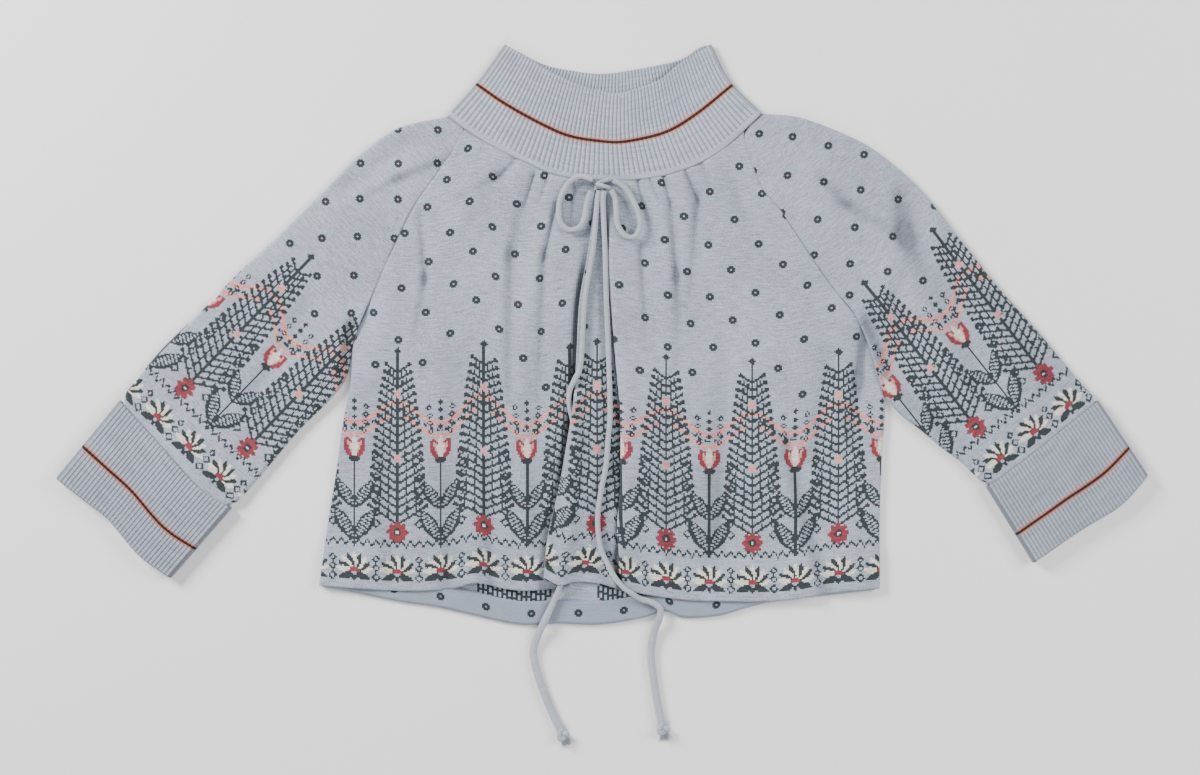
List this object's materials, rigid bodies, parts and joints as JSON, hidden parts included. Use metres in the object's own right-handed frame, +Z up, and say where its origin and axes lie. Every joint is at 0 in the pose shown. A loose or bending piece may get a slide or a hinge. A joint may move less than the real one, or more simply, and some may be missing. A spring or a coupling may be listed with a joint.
{
  "type": "cropped sweater",
  "caption": "Cropped jacquard knit sweater with a ribbed funnel collar, overlapping fronts, turned-up cuffs and a bow drawstring, laid flat.",
  "frame": {"origin": "centre of the laid-out garment's footprint, on the surface that its back lies on", "axes": "+X across the garment from the wearer's right sleeve to the left one, +Y from the hem to the collar, +Z up out of the surface"},
  "size_m": [1.0876, 0.6949, 0.0186],
  "materials": {
    "jacquard_knit": "soft matt two-colour knit",
    "inner_facing": "plain matt knit",
    "rib_knit": "matt heathered rib",
    "drawstring": "matt round knitted cord"
  },
  "bodies": {
    "root": {"back_panel": "jacquard_knit", "right_front": "jacquard_knit", "left_front": "jacquard_knit", "right_sleeve": "jacquard_knit", "left_sleeve": "jacquard_knit", "back_hem_facing": "inner_facing", "collar": "rib_knit", "right_cuff": "rib_knit", "left_cuff": "rib_knit", "tail_right": "drawstring", "tail_left": "drawstring", "loop_right": "drawstring", "loop_left": "drawstring", "bow_knot": "drawstring", "tail_knot_right": "drawstring", "tail_knot_left": "drawstring"}
  },
  "joints": []
}
